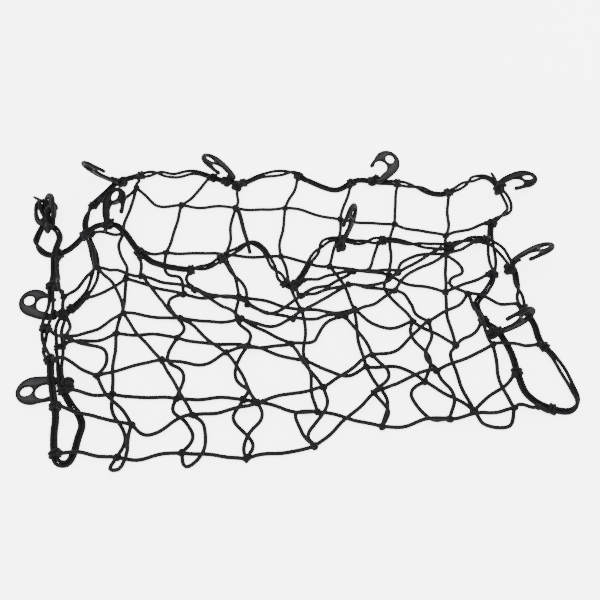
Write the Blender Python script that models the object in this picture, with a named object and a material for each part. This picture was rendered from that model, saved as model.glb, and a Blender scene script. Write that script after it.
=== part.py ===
"""Cargo net of elastic cord, folded in half and laid down.

The net is one knotted mesh of thin cord, eight cells wide and eleven long. A doubled
border cord runs round its edge and moulded hooks are fixed on the border. The net lies
folded across its middle: the far half is spread on the surface, and the other half is
turned back over it, a little askew. Everything is laid down in order, cord by cord, and
each cord rides over what already lies beneath it.
Metres, +Z up, the surface at z = 0, and the fold at the front (-Y).
"""

import math

import bmesh
import bpy
import numpy as np
from mathutils import Matrix

MM = 0.001

# Driving dimensions, in millimetres.
CORD = 4.0                 # thickness of the elastic cord
KNOT = 8.0                 # thickness of a mesh knot
HITCH = 5.6                # thickness of the hitch that ties a mesh cord to the border
BORDER_WIDTH = 8.0         # the border is two cords side by side
BORDER_HEIGHT = 4.0
GAP = 1.1                  # left between a cord and whatever it crosses
HITCH_GAP = 0.7            # left between the border and what is hitched to it
STEP = 2.5                 # spacing at which a lying cord feels for what is under it
DRAPE = 26.0               # a cord comes down from what it crosses over this length
CORD_STRAY = 1.9           # a solid cord may stray this far sideways from its smooth line,
BORDER_STRAY = 1.2         # and the border this far,
RISE_CARE = 3.0            # and this many times less in height
STRAY = 2.0                # room left sideways for straying
KNOT_SIDES = 4
TIE_ZONE = 13.0            # cords tied to one knot don't ride over each other this near it
STRAND_END = 1.2           # how far from the middle of its knot a strand's solid ends
WELD = 0.00001             # metres
BORDER = -2                # marks the border among the owners in the pile
FIRST_LINE_ABOVE = 6       # the cross line at the fold, the first on the border above

# Sections of the two cords, each with a flat side down: places across and up.
CORD_SECTION = ((-CORD * 0.56, -CORD / 2), (CORD * 0.56, -CORD / 2), (0, CORD / 2))
BORDER_SECTION = ((-BORDER_WIDTH / 4, -BORDER_HEIGHT / 2), (BORDER_WIDTH / 4, -BORDER_HEIGHT / 2),
                  (BORDER_WIDTH / 2, 0), (BORDER_WIDTH / 4, BORDER_HEIGHT / 2),
                  (-BORDER_WIDTH / 4, BORDER_HEIGHT / 2), (-BORDER_WIDTH / 2, 0))

HOOK_LENGTH = 56.0
HOOK_THICKNESS = 4.5
HOOK_REACH = 0.8           # a hook's edge is felt this far to each side

# Where each mesh knot lies: one row for each cross line of the mesh, from the far border
# to the border that is folded back on top, and one column for each lengthwise cord.
KNOT_LINES = [
    # cord 1,      cord 2,       cord 3,       cord 4,      cord 5,      cord 6,      cord 7
    ((-233, 178), (-166, 148), (-90, 143), (-21, 143), (56, 124), (130, 116), (199, 97)),      # 1
    ((-241, 101), (-180, 70), (-100, 66), (-26, 64), (39, 48), (117, 35), (189, 9)),           # 2
    ((-229, 30), (-151, 6), (-79, 2), (2, -17), (70, -16), (143, -33), (194, -67)),            # 3
    ((-231, -50), (-154, -56), (-65, -67), (6, -87), (81, -95), (151, -114), (206, -151)),     # 4
    ((-225, -130), (-148, -136), (-68, -137), (21, -152), (96, -170), (176, -161), (254, -147)),
    ((-209, -206), (-136, -201), (-61, -208), (17, -193), (89, -128), (167, -100), (240, -65)),
    ((-197, -168), (-127, -156), (-50, -143), (28, -121), (89, -79), (163, -33), (218, 7)),    # 7
    ((-247, -107), (-169, -88), (-92, -76), (-11, -64), (58, -26), (123, 9), (194, 64)),       # 8
    ((-288, -60), (-224, -24), (-152, -31), (-74, -32), (-9, -29), (63, 18), (129, 38)),       # 9
    ((-306, 2), (-268, 44), (-207, 30), (-137, 12), (-67, -9), (2, 1), (70, 38)),              # 10
]
# Where each lengthwise cord is hitched to the far border and to the border on top.
FAR_HITCHES = ((-231, 203), (-127, 196), (-82, 189), (-1, 201), (75, 189), (140, 188), (210, 174))
TOP_HITCHES = ((-322, 67), (-290, 92), (-214, 68), (-146, 44), (-104, 55), (-18, 22), (-9, 20))
# Where each cross line is hitched to the border on the left and on the right.
LEFT_HITCHES = ((-291, 148), (-290, 98), (-293, -12), (-299, -66), (-280, -128),
                (-273, -204), (-288, -146), (-306, -88), (-321, -45), (-324, 15))
RIGHT_HITCHES = ((265, 119), (256, 38), (236, -30), (265, -100), (300, -147),
                 (303, -68), (286, -12), (250, 87), (201, 79), (112, 88))

# The border's way round the net, one row for each stretch of it, in the order of laying.
BORDER_ROUTE = {
    "left below": ((-282, -202), (-276, -212), (-265, -212), (-260, -200), (-258, -183), (-256, -168), (-262, -155), (-271, -145), (-282, -128),
                   (-291, -104), (-296, -84), (-301, -62), (-305, -42), (-300, -22),
                   (-284, -2), (-274, 17), (-271, 44), (-278, 70), (-290, 98), (-297, 121),
                   (-290, 150), (-274, 174)),
    "far": ((-258, 192), (-217, 205), (-181, 202), (-152, 208), (-114, 194), (-82, 189),
            (-54, 202), (-15, 207), (9, 194), (50, 176), (81, 193), (112, 190), (148, 187),
            (192, 169), (217, 175), (262, 200)),
    "right below": ((284, 180), (293, 143), (266, 119), (259, 85), (256, 38), (245, 15),
                    (228, -7), (235, -32), (250, -46), (262, -76), (266, -104), (272, -128),
                    (290, -144)),
    "right above": ((318, -151), (331, -138), (327, -115), (315, -83), (301, -60),
                    (297, -36), (287, -10), (284, 15), (284, 44), (271, 70), (252, 88),
                    (232, 91), (214, 85), (197, 77), (163, 82), (120, 88), (75, 87)),
    "top": ((38, 88), (18, 62), (4, 36), (-13, 16), (-33, 42), (-50, 74), (-68, 85),
            (-88, 68), (-120, 49), (-160, 44), (-188, 50), (-214, 68), (-238, 98),
            (-256, 112), (-274, 108), (-293, 91), (-318, 72), (-340, 68), (-358, 86)),
    "left above": ((-353, 116), (-337, 110), (-327, 92), (-328, 66), (-326, 40), (-323, 15),
                   (-318, -14), (-321, -45), (-317, -72), (-304, -92), (-298, -117),
                   (-289, -147), (-287, -178)),
}

# Bends where a cord strays far from the way straight to its next knot. Each row names a
# lengthwise cord and the lines that it lies between, and the places that it goes through.
CORD_BENDS = {
    # (cord, line above): places in order towards the next line
    (1, 2): ((-248, 80), (-230, 50)),
    (1, 6): ((-216, -219), (-203, -219), (-196, -198)),
    (2, 3): ((-168, -6), (-148, -40)),
    (2, 6): ((-128, -214), (-111, -194), (-113, -168)),
    (3, 5): ((-80, -160), (-55, -190)),
    (3, 6): ((-62, -194), (-46, -160)),
    (4, 5): ((-4, -156), (4, -174)),
    (4, 6): ((11, -180), (31, -145)),
    (5, 4): ((102, -136),),
    (5, 5): ((106, -150),),
    (5, 6): ((106, -103),),
    (6, 3): ((141, -50), (157, -84)),
    (6, 4): ((136, -131), (155, -160)),
    (6, 5): ((181, -130),),
    (6, 6): ((156, -84), (166, -57)),
    (7, 3): ((186, -85),),
    (7, 4): ((215, -169), (246, -170)),
    (7, 5): ((240, -110),),
    (7, 6): ((220, -20),),
    (7, 7): ((198, 20), (215, 42)),
    (7, 8): ((170, 71), (138, 57)),
    (5, 10): ((-78, 20),),
    (4, 10): ((-146, 26),),
    (2, 9): ((-234, 5),),
    (1, 8): ((-241, -89), (-246, -73), (-265, -67)),
    (3, 3): ((-81, -20), (-76, -35), (-63, -51)),
    (3, 4): ((-77, -91), (-76, -109), (-61, -124)),
    (2, 4): ((-162, -76), (-161, -90), (-146, -106)),
    (2, 5): ((-149, -151), (-135, -164), (-126, -182)),
    (1, 5): ((-220, -151), (-205, -176), (-202, -190)),
    (6, 7): ((148, -22), (143, -8), (136, 5)),
    (2, 2): ((-174, 41), (-158, 31)),
    (5, 2): ((56, 24),),
    (6, 2): ((112, 10),),
}
# The same for cross lines: each row names a line and the cord that the bend comes after.
LINE_BENDS = {
    (1, 1): ((-203, 150),),
    (1, 0): ((-262, 152),),
    (2, 1): ((-205, 72),),
    (3, 0): ((-262, 2),),
    (3, 5): ((110, -44),),
    (4, 5): ((120, -92),),
    (4, 4): ((50, -107),),
    (7, 0): ((-240, -160),),
    (7, 1): ((-174, -179),),
    (7, 5): ((128, -66),),
    (7, 6): ((196, -18),),
    (8, 0): ((-285, -86),),
    (8, 2): ((-125, -91),),
    (8, 6): ((150, 40),),
    (8, 4): ((15, -63), (25, -53), (38, -34)),
    (9, 4): ((-36, -42),),
    (9, 6): ((95, 16),),
    (10, 5): ((-38, -26),),
    (10, 7): ((90, 42),),
}

# How each hook lies: the place of its foot, the way that it points, which side of it the
# throat is on, how far it is rolled on its edge, how far its crown is tipped up, and
# whether it lies under the cords or with its foot over them.
HOOKS = [
    # name,     foot x, foot y, heading, side, roll, tip, lies
    ("hook_01", -259, 180, 153, 1, 78, 1, "over"),
    ("hook_02", -99, 187, 134, 1, 37, 5, "over"),
    ("hook_03", 103, 191, 52, 1, 16, -3, "over"),
    ("hook_04", 286, 174, 25, -1, 16, -3, "over"),
    ("hook_05", -251, 106, 94, -1, 22, 3, "over"),
    ("hook_06", -335, 98, 104, -1, 50, 2, "over"),
    ("hook_07", -309, -18, 159, -1, 4, 0, "under"),
    ("hook_08", -285, -124, 185, 1, 8, 1, "under"),
    ("hook_09", 54, 77, 67, 1, 80, 4, "over"),
    ("hook_10", 284, 47, 27, -1, 46, 6, "over"),
    ("hook_11", 242, -52, 25, 1, 80, 2, "over"),
]


# ---------------------------------------------------------------- paths in the plane

def smooth_path(places, closed=False, step=STEP):
    """Points every `step` along a smooth curve through the given places.

    Each stretch is a cubic between two places whose slope at a place is half the way
    from the one before to the one after.
    """
    places = np.array(places, dtype=float)
    count = len(places)
    if closed:
        before, start = np.roll(places, 1, axis=0), places
        end, after = np.roll(places, -1, axis=0), np.roll(places, -2, axis=0)
    else:
        padded = np.vstack([2 * places[0] - places[1], places, 2 * places[-1] - places[-2]])
        before, start, end, after = padded[:count - 1], padded[1:count], padded[2:count + 1], padded[3:]
    t = np.linspace(0, 1, 16, endpoint=False)[None, :, None]
    before, start, end, after = (block[:, None, :] for block in (before, start, end, after))
    curve = (start + 0.5 * t * (end - before)
             + t ** 2 * (before - 2.5 * start + 2 * end - 0.5 * after)
             + t ** 3 * (1.5 * (start - end) + 0.5 * (after - before))).reshape(-1, 2)
    curve = np.vstack([curve, places[:1] if closed else places[-1:]])
    return spaced(curve, step)


def spaced(curve, step):
    """The same curve with its points an even distance apart, as near `step` as fits."""
    run = np.concatenate([[0], np.cumsum(np.linalg.norm(np.diff(curve, axis=0), axis=1))])
    count = max(2, round(run[-1] / step)) + 1
    even = np.linspace(0, run[-1], count)
    return np.column_stack([np.interp(even, run, curve[:, axis]) for axis in range(curve.shape[1])])


def sway(path, number):
    """A slack cord's gentle S between two knots, a little different for each cord."""
    along = np.linspace(0, 1, len(path))
    across = np.gradient(path, axis=0)[:, ::-1] * (-1, 1)
    across /= np.linalg.norm(across, axis=1)[:, None]
    wave = 2.2 * math.sin(2.4 * number) * np.sin(math.pi * along)
    wave += 2.0 * math.cos(1.7 * number) * np.sin(2 * math.pi * along)
    return path + across * wave[:, None]


# ---------------------------------------------------------------- laying things down

class Pile:
    """All that lies on the surface so far, as points with a top height and a half width."""

    def __init__(self):
        self.places = np.zeros((0, 2))
        self.tops = np.zeros(0)
        self.widths = np.zeros(0)
        self.owners = np.zeros((0, 2), dtype=int)

    def add(self, places, tops, half_width, owners=(-1, -1)):
        self.places = np.vstack([self.places, places])
        self.tops = np.concatenate([self.tops, tops])
        self.widths = np.concatenate([self.widths, np.full(len(places), half_width)])
        self.owners = np.vstack([self.owners, np.tile(owners, (len(places), 1))])

    def top_under(self, path, half_width, ends=(), end_places=()):
        """The height to clear under each point of a path that is `half_width` either side.

        What is tied to the path's own end knots doesn't count near them.
        """
        if not len(self.places):
            return np.zeros(len(path))
        apart = np.linalg.norm(path[:, None, :] - self.places[None, :, :], axis=2)
        under = apart < half_width + self.widths[None, :] + STRAY
        for owner, place in zip(ends, end_places):
            tied = (self.owners == owner).any(axis=1)
            near = np.linalg.norm(self.places - np.array(place), axis=1) < TIE_ZONE
            own_knot = (self.owners == owner).all(axis=1)
            under[:, (tied & near) | own_knot] = False
        return np.where(under, self.tops[None, :] + GAP, 0).max(axis=1)


def drape(path, needs, half_height):
    """Heights of a cord's middle that clear the tops under it and come down softly."""
    run = np.concatenate([[0], np.cumsum(np.linalg.norm(np.diff(path, axis=0), axis=1))])
    away = np.clip(np.abs(run[:, None] - run[None, :]) / DRAPE, 0, 1)
    ease = 1 - away ** 2 * (3 - 2 * away)
    return half_height + (ease * needs[None, :]).max(axis=1)


def simplified(points, tolerance):
    """The few of the points that hold the line, with heights held RISE_CARE times closer."""
    weighed = points * (1, 1, RISE_CARE)
    chord = weighed[-1] - weighed[0]
    offsets = weighed - weighed[0]
    along = offsets @ chord / (chord @ chord)
    away = np.linalg.norm(offsets - along[:, None] * chord, axis=1)
    worst = away.argmax()
    if len(points) < 3 or away[worst] <= tolerance:
        return points[[0, -1]]
    return np.vstack([simplified(points[:worst + 1], tolerance)[:-1],
                      simplified(points[worst:], tolerance)])


# ---------------------------------------------------------------- the knotted mesh

class Mesh:
    """The strands of the mesh, each a run of points, and the knots as places with a size.

    The strands are kept in four sets, in none of which two strands meet at a knot.
    """

    def __init__(self):
        self.strands = {}
        self.knots = []


def lay_strand(pile, mesh, kind, start, finish, bends):
    """Lay one cord between two knots or hitches and add it to the pile and the mesh.

    kind is "cord" or "line" and whether it is an odd one; start and finish are each
    (place, height, owner).
    """
    number = sum(len(strands) for strands in mesh.strands.values())
    path = sway(smooth_path([start[0], *bends, finish[0]]), number)
    needs = pile.top_under(path, CORD / 2, (start[2], finish[2]), (start[0], finish[0]))
    needs[0] = max(needs[0], start[1] - CORD / 2)
    needs[-1] = max(needs[-1], finish[1] - CORD / 2)
    heights = drape(path, needs, CORD / 2)
    heights[0], heights[-1] = start[1], finish[1]
    kept = simplified(np.column_stack([path, heights]), CORD_STRAY)
    mesh.strands.setdefault(kind, []).append(kept)
    solid = spaced(kept, STEP)
    pile.add(solid[:, :2], solid[:, 2] + CORD / 2, CORD / 2, (start[2], finish[2]))


def lay_knot(pile, mesh, place, size, owner, least=0.0):
    """Lay a knot or hitch on what is under it, its middle no lower than `least`."""
    under = pile.top_under(np.array([place], dtype=float), size / 2)[0]
    height = max(under + size / 2, least)
    pile.add([place], [height + size / 2], size / 2, (owner, owner))
    mesh.knots.append((*place, height, size))
    return tuple(place), height, owner


def lay_hitch(pile, mesh, place, towards, border, owner):
    """The end of a mesh cord, tied just inside the border's edge and level with it."""
    nearest = border[np.linalg.norm(border[:, :2] - place, axis=1).argmin()]
    way = np.array(towards, dtype=float) - nearest[:2]
    way /= np.linalg.norm(way)
    clear = BORDER_WIDTH / 2 + HITCH / 2 + HITCH_GAP
    for reach in np.arange(clear, 3 * clear, HITCH_GAP):
        inside = nearest[:2] + way * reach
        if np.linalg.norm(border[:, :2] - inside, axis=1).min() >= clear:
            break
    return lay_knot(pile, mesh, inside, HITCH, owner, nearest[2])


def lay_border(pile, route, before):
    """Lay a stretch of the border on from the last one and give its few points."""
    needs = pile.top_under(route, BORDER_WIDTH / 2, (BORDER, BORDER), (route[0], route[-1]))
    if before is not None:
        needs[0] = max(needs[0], before - BORDER_HEIGHT / 2)
    heights = drape(route, needs, BORDER_HEIGHT / 2)
    if before is not None:
        heights[0] = before
    kept = simplified(np.column_stack([route, heights]), BORDER_STRAY)
    solid = spaced(kept, STEP)
    pile.add(solid[:, :2], solid[:, 2] + BORDER_HEIGHT / 2, BORDER_WIDTH / 2, (BORDER, 0))
    return kept


def lay_borders(pile, names, laid):
    """Lay the named stretches in turn, each a part of the one smooth loop."""
    places = [place for stretch in BORDER_ROUTE.values() for place in stretch]
    loop = smooth_path(places, closed=True)
    firsts = [np.linalg.norm(loop - stretch[0], axis=1).argmin()
              for stretch in BORDER_ROUTE.values()]
    firsts.append(len(loop) - 1)
    for index, name in enumerate(BORDER_ROUTE):
        if name in names:
            before = laid[-1][-1, 2] if laid else None
            laid.append(lay_border(pile, loop[firsts[index]:firsts[index + 1] + 1], before))


def lay_net():
    """Lay the net down in order and give its mesh, its border and how high hooks lie."""
    pile, mesh, laid = Pile(), Mesh(), []
    for hook in HOOKS:
        if hook[-1] == "under":
            places = hook_places(hook)
            pile.add(places[:, :2], places[:, 2], HOOK_REACH)
    lay_borders(pile, ("left below", "far", "right below"), laid)
    border = spaced(np.vstack(laid), STEP)

    knots = {}
    for line, places in enumerate(KNOT_LINES, start=1):
        if line == FIRST_LINE_ABOVE:
            lay_borders(pile, ("right above", "top", "left above"), laid)
            border = spaced(np.vstack(laid[3:]), STEP)
        row = [lay_knot(pile, mesh, place, KNOT, 100 * line + cord)
               for cord, place in enumerate(places, start=1)]
        for cord, knot in enumerate(row, start=1):
            start = knots.get((line - 1, cord))
            if start is None:
                place = FAR_HITCHES[cord - 1]
                start = lay_hitch(pile, mesh, place, knot[0], border, cord)
            bends = CORD_BENDS.get((cord, line - 1), ())
            lay_strand(pile, mesh, ("cord", line % 2), start, knot, bends)
            knots[line, cord] = knot
        left, right = LEFT_HITCHES[line - 1], RIGHT_HITCHES[line - 1]
        left = lay_hitch(pile, mesh, left, row[0][0], border, 100 * line)
        right = lay_hitch(pile, mesh, right, row[-1][0], border, 100 * line + 8)
        ends = [left, *row, right]
        for cord, (start, finish) in enumerate(zip(ends, ends[1:])):
            bends = LINE_BENDS.get((line, cord), ())
            lay_strand(pile, mesh, ("line", cord % 2), start, finish, bends)
    for cord, place in enumerate(TOP_HITCHES, start=1):
        start = knots[len(KNOT_LINES), cord]
        finish = lay_hitch(pile, mesh, place, start[0], border, 1100 + cord)
        bends = CORD_BENDS.get((cord, len(KNOT_LINES)), ())
        lay_strand(pile, mesh, ("cord", 1), start, finish, bends)
    lifts = {}
    for hook in HOOKS:
        places = hook_places(hook)
        under = pile.top_under(places[:, :2], HOOK_REACH)
        lifts[hook[0]] = (under - places[:, 2]).max() if hook[-1] == "over" else 0.0
    return mesh, np.vstack([stretch[:-1] for stretch in laid]), lifts


# ---------------------------------------------------------------- hooks

def hook_outline():
    """The hook's outline and its eye, in mm, foot at the origin and crown towards +X.

    The crown is part of an ellipse that tapers into the tip, the throat is an arc, and
    the foot is a small curl.
    """
    def arc(centre, radii, start, stop, count):
        angles = np.radians(np.linspace(start, stop, count))
        return [(centre[0] + radii[0] * math.cos(a), centre[1] + radii[1] * math.sin(a))
                for a in angles]

    crown = arc((35, -1), (HOOK_LENGTH - 35, 19), 114, -95, 12)
    foot = [(20, -19.3), (8, -16.5), *arc((4, -7.5), (6.5, 7.5), 225, 60, 5)]
    slot = arc((5.2, -4.6), (2.8, 2.6), 110, 290, 4)
    throat = arc((22, 1.2), (10.8, 9.3), -112, 128, 9)
    tip = [(12.3, 9.3), (10.9, 11.8), (13.6, 14.6)]
    eye = arc((43.3, -0.6), (7.4, 6.5), 0, 315, 8)
    return crown + foot + slot + throat + tip, eye


def hook_matrix(hook):
    """Turns and places a hook: rolled on its own length, tipped up, then headed."""
    _, x, y, heading, side, roll, tip, _ = hook
    roll, tip, heading = (math.radians(angle) for angle in (roll * side, -tip, heading))
    roll_turn = np.array([[1, 0, 0], [0, math.cos(roll), -math.sin(roll)],
                          [0, math.sin(roll), math.cos(roll)]])
    tip_turn = np.array([[math.cos(tip), 0, math.sin(tip)], [0, 1, 0],
                         [-math.sin(tip), 0, math.cos(tip)]])
    heading_turn = np.array([[math.cos(heading), -math.sin(heading), 0],
                             [math.sin(heading), math.cos(heading), 0], [0, 0, 1]])
    turn = heading_turn @ tip_turn @ roll_turn @ np.diag([1.0, side, 1.0])
    lowest = min((turn @ (px, py, pz))[2] for px, py in hook_outline()[0]
                 for pz in (-HOOK_THICKNESS / 2, HOOK_THICKNESS / 2))
    return turn, np.array([x, y, -lowest])


def hook_places(hook):
    """Places along the edges of both sides of a hook that rests on the surface."""
    turn, move = hook_matrix(hook)
    outline, _ = hook_outline()
    ring = spaced(np.array(outline + outline[:1]), STEP)
    sides = [np.column_stack([ring, np.full(len(ring), height)])
             for height in (-HOOK_THICKNESS / 2, HOOK_THICKNESS / 2)]
    return np.vstack(sides) @ turn.T + move


def make_hook(hook, lift, collection):
    """A moulded hook: its outline with the eye cut out, as thick as the moulding."""
    turn, move = hook_matrix(hook)
    curve = bpy.data.curves.new(hook[0], "CURVE")
    curve.dimensions = "2D"
    curve.fill_mode = "BOTH"
    curve.extrude = HOOK_THICKNESS / 2 * MM
    for ring in hook_outline():
        spline = curve.splines.new("POLY")
        spline.points.add(len(ring) - 1)
        for point, (x, y) in zip(spline.points, ring):
            point.co = (x * MM, y * MM, 0, 1)
        spline.use_cyclic_u = True
    piece = mesh_from(bpy.data.objects.new("hook_guide", curve), hook[0], collection)
    piece.data.transform(Matrix(turn.tolist()).to_4x4())
    piece.data.transform(Matrix.Translation(((move + (0, 0, lift)) * MM).tolist()))
    if hook[4] < 0:
        piece.data.flip_normals()
    return piece


# ---------------------------------------------------------------- solids

def mesh_from(guide, name, collection):
    """Turn a curve into a closed mesh, with the loose caps or ends of its tubes welded."""
    bpy.context.scene.collection.objects.link(guide)
    shape = bpy.data.meshes.new_from_object(
        guide.evaluated_get(bpy.context.evaluated_depsgraph_get()))
    bm = bmesh.new()
    bm.from_mesh(shape)
    bmesh.ops.remove_doubles(bm, verts=bm.verts, dist=WELD)
    bmesh.ops.recalc_face_normals(bm, faces=bm.faces)
    bm.to_mesh(shape)
    bm.free()
    bpy.data.objects.remove(guide)
    piece = bpy.data.objects.new(name, shape)
    collection.objects.link(piece)
    return piece


def make_tubes(name, runs, section, closed, collection):
    """Tubes along runs of points, with the section's corners in mm across and up."""
    outline = bpy.data.curves.new(name + "_section", "CURVE")
    spline = outline.splines.new("POLY")
    spline.points.add(len(section) - 1)
    for point, (across, up) in zip(spline.points, section):
        point.co = (across * MM, up * MM, 0, 1)
    spline.use_cyclic_u = True
    guide = bpy.data.objects.new(name + "_section", outline)
    bpy.context.scene.collection.objects.link(guide)

    curve = bpy.data.curves.new(name, "CURVE")
    curve.dimensions = "3D"
    curve.twist_mode = "Z_UP"
    curve.bevel_mode = "OBJECT"
    curve.bevel_object = guide
    curve.use_fill_caps = not closed
    for run in runs:
        spline = curve.splines.new("POLY")
        spline.points.add(len(run) - 1)
        for point, place in zip(spline.points, run):
            point.co = (*(c * MM for c in place), 1)
        spline.use_cyclic_u = closed
    piece = mesh_from(bpy.data.objects.new(name + "_guide", curve), name, collection)
    bpy.data.objects.remove(guide)
    return piece


def make_knots(name, knots, collection):
    """A faceted lump for each knot and hitch."""
    bm = bmesh.new()
    for x, y, z, size in knots:
        place = Matrix.Translation((x * MM, y * MM, z * MM))
        bmesh.ops.create_uvsphere(bm, u_segments=KNOT_SIDES, v_segments=3,
                                  radius=size / 2 * MM, matrix=place)
    shape = bpy.data.meshes.new(name)
    bm.to_mesh(shape)
    bm.free()
    collection.objects.link(bpy.data.objects.new(name, shape))


def make_mesh_net(mesh, collection, guides):
    """The knotted mesh as one solid: every strand joined to its two knots."""
    piece = None
    for (way, parity), strands in mesh.strands.items():
        cut = []
        for strand in strands:
            ends = strand.copy()
            for end, inner in ((0, 1), (-1, -2)):
                along = strand[inner] - strand[end]
                ends[end] += along / np.linalg.norm(along) * STRAND_END
            cut.append(ends)
        if piece is None:
            piece = make_tubes("net_mesh", cut, CORD_SECTION, False, collection)
        else:
            make_tubes("strands_%s_%d" % (way, parity), cut, CORD_SECTION, False, guides)
    make_knots("knots", mesh.knots, guides)
    for guide in guides.objects:
        guide.hide_render = True
        guide.display_type = "WIRE"
        union = piece.modifiers.new(guide.name, "BOOLEAN")
        union.operation = "UNION"
        union.solver = "MANIFOLD"
        union.object = guide
    return piece


def material(name, colour, roughness):
    finish = bpy.data.materials.new(name)
    finish.use_nodes = True
    shader = finish.node_tree.nodes["Principled BSDF"]
    shader.inputs["Base Color"].default_value = (*colour, 1)
    shader.inputs["Roughness"].default_value = roughness
    return finish


def to_middle(objects):
    """Move everything so that the origin is at the bottom middle of its box."""
    corners = [np.array([vertex.co[:] for vertex in piece.data.vertices]) for piece in objects]
    low = np.min([block.min(axis=0) for block in corners], axis=0)
    high = np.max([block.max(axis=0) for block in corners], axis=0)
    shift = Matrix.Translation((-(low[0] + high[0]) / 2, -(low[1] + high[1]) / 2, -low[2]))
    for piece in objects:
        piece.data.transform(shift)


def build():
    for leftover in list(bpy.data.objects):
        bpy.data.objects.remove(leftover)
    collection = bpy.data.collections.new("cargo_net")
    bpy.context.scene.collection.children.link(collection)
    guides = bpy.data.collections.new("guides")
    bpy.context.scene.collection.children.link(guides)
    mesh, border, lifts = lay_net()
    net = make_mesh_net(mesh, collection, guides)
    net.data.materials.append(material("mesh_cord", (0.012, 0.012, 0.013), 0.6))
    edge = make_tubes("border_cord", [border], BORDER_SECTION, True, collection)
    edge.data.materials.append(material("border_cord", (0.014, 0.014, 0.015), 0.6))
    for hook in HOOKS:
        piece = make_hook(hook, lifts[hook[0]], collection)
        piece.data.materials.append(material(hook[0], (0.03, 0.03, 0.032), 0.45))
    to_middle([*collection.objects, *guides.objects])


build()
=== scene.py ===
"""Cargo net of elastic cord, dressed for the picture.

Seven lengthwise and ten cross cords are knotted where they meet and hitched to a doubled
border cord, which carries moulded hooks. The net lies folded across its middle, with one
half turned back over the other. It is laid down in order, cord by cord, over what lies
beneath, and each cord then gets its round section, its woven sheath and its knots.
"""

import math

import bmesh
import bpy
import numpy as np
from mathutils.geometry import tessellate_polygon
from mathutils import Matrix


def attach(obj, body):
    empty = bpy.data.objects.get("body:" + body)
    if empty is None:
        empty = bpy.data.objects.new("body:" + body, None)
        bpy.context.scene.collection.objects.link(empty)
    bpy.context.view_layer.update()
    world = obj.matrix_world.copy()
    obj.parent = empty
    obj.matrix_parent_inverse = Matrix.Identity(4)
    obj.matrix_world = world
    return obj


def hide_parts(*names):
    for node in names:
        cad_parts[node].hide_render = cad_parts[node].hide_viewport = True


# -------- the surface and the view
# The net lies on a plain pale surface under broad soft lights, and is seen from the front
# and well above.

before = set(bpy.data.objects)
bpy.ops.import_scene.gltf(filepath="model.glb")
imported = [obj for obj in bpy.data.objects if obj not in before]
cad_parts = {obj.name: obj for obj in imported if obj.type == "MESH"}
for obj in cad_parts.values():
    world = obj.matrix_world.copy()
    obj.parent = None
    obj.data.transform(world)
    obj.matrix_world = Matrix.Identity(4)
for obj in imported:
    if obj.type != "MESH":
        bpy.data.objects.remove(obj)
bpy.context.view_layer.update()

MM = 0.001
MIDDLE = np.array([12.205, -8.300, 0.0])  # from the layout's zero to the frame's
CAMERA_PLACE = np.array([0.0, -392.5, 738.1])
CAMERA_TILT = 28.0    # degrees from straight down
CAMERA_ANGLE = 50.0
LAMPS = {
    # name: place in metres, width in metres, power in watts
    "high_lamp": ((0.1, 0.2, 1.7), 1.6, 30.0),
    "left_lamp": ((-1.3, -0.3, 0.9), 0.8, 10.0),
    "right_lamp": ((1.1, 0.9, 0.7), 0.6, 8.0),
}


def added(name, data):
    """A new object in the scene."""
    made = bpy.data.objects.new(name, data)
    bpy.context.scene.collection.objects.link(made)
    return made


camera = added("camera", bpy.data.cameras.new("camera"))
camera.location = (CAMERA_PLACE + MIDDLE) * MM
camera.rotation_euler = (math.radians(CAMERA_TILT), 0, 0)
camera.data.lens = camera.data.sensor_width / 2 / math.tan(math.radians(CAMERA_ANGLE / 2))
bpy.context.scene.camera = camera

for name, (place, size, power) in LAMPS.items():
    lamp = added(name, bpy.data.lights.new(name, "AREA"))
    lamp.data.shape = "DISK"
    lamp.data.size = size
    lamp.data.energy = power
    lamp.location = place
    lamp.rotation_euler = lamp.location.to_track_quat("Z", "Y").to_euler()

SKY = {"Color": (1, 1, 1, 1), "Strength": 1.15}
FLOOR_DROP = 0.0002   # metres that the floor lies under the net
FLOOR_PROFILE = (
    # metres out from the middle and up: flat under the net, with a rim that rises far away
    (5.0, 0.0), (5.8, 0.15), (6.5, 0.55), (7.1, 1.2), (7.5, 2.2),
)
FLOOR_SIDES = 64
FLOOR_FINISH = {"Base Color": (0.93, 0.93, 0.93, 1), "Roughness": 0.9,
                "Emission Color": (1, 1, 1, 1), "Emission Strength": 4.2}


def grid(rings, sides):
    """The number of the ring and of the side for each cell of a grid, ring by ring."""
    return (block.ravel() for block in np.meshgrid(np.arange(rings), np.arange(sides),
                                                   indexing="ij"))


sky = bpy.data.worlds.new("sky")
sky.use_nodes = True
for socket, value in SKY.items():
    sky.node_tree.nodes["Background"].inputs[socket].default_value = value
bpy.context.scene.world = sky

reach, rise = np.array(FLOOR_PROFILE).T[:, :, None]
angle = 2 * math.pi * np.arange(FLOOR_SIDES) / FLOOR_SIDES
rings = np.stack([reach * np.cos(angle), reach * np.sin(angle),
                  rise - FLOOR_DROP + 0 * angle], axis=2)
ring, side = grid(len(FLOOR_PROFILE) - 1, FLOOR_SIDES)
beside = (side + 1) % FLOOR_SIDES
walls = np.column_stack([ring * FLOOR_SIDES + side, (ring + 1) * FLOOR_SIDES + side,
                         (ring + 1) * FLOOR_SIDES + beside, ring * FLOOR_SIDES + beside])
floor_shape = bpy.data.meshes.new("floor")
floor_shape.from_pydata(rings.reshape(-1, 3), [], [list(range(FLOOR_SIDES))] + walls.tolist())
floor_shape.polygons.foreach_set("use_smooth", np.ones(len(walls) + 1, dtype=bool))
floor = added("floor", floor_shape)
pale = bpy.data.materials.new("pale_floor")
pale.use_nodes = True
for socket, value in FLOOR_FINISH.items():
    pale.node_tree.nodes["Principled BSDF"].inputs[socket].default_value = value
floor_shape.materials.append(pale)

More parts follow.
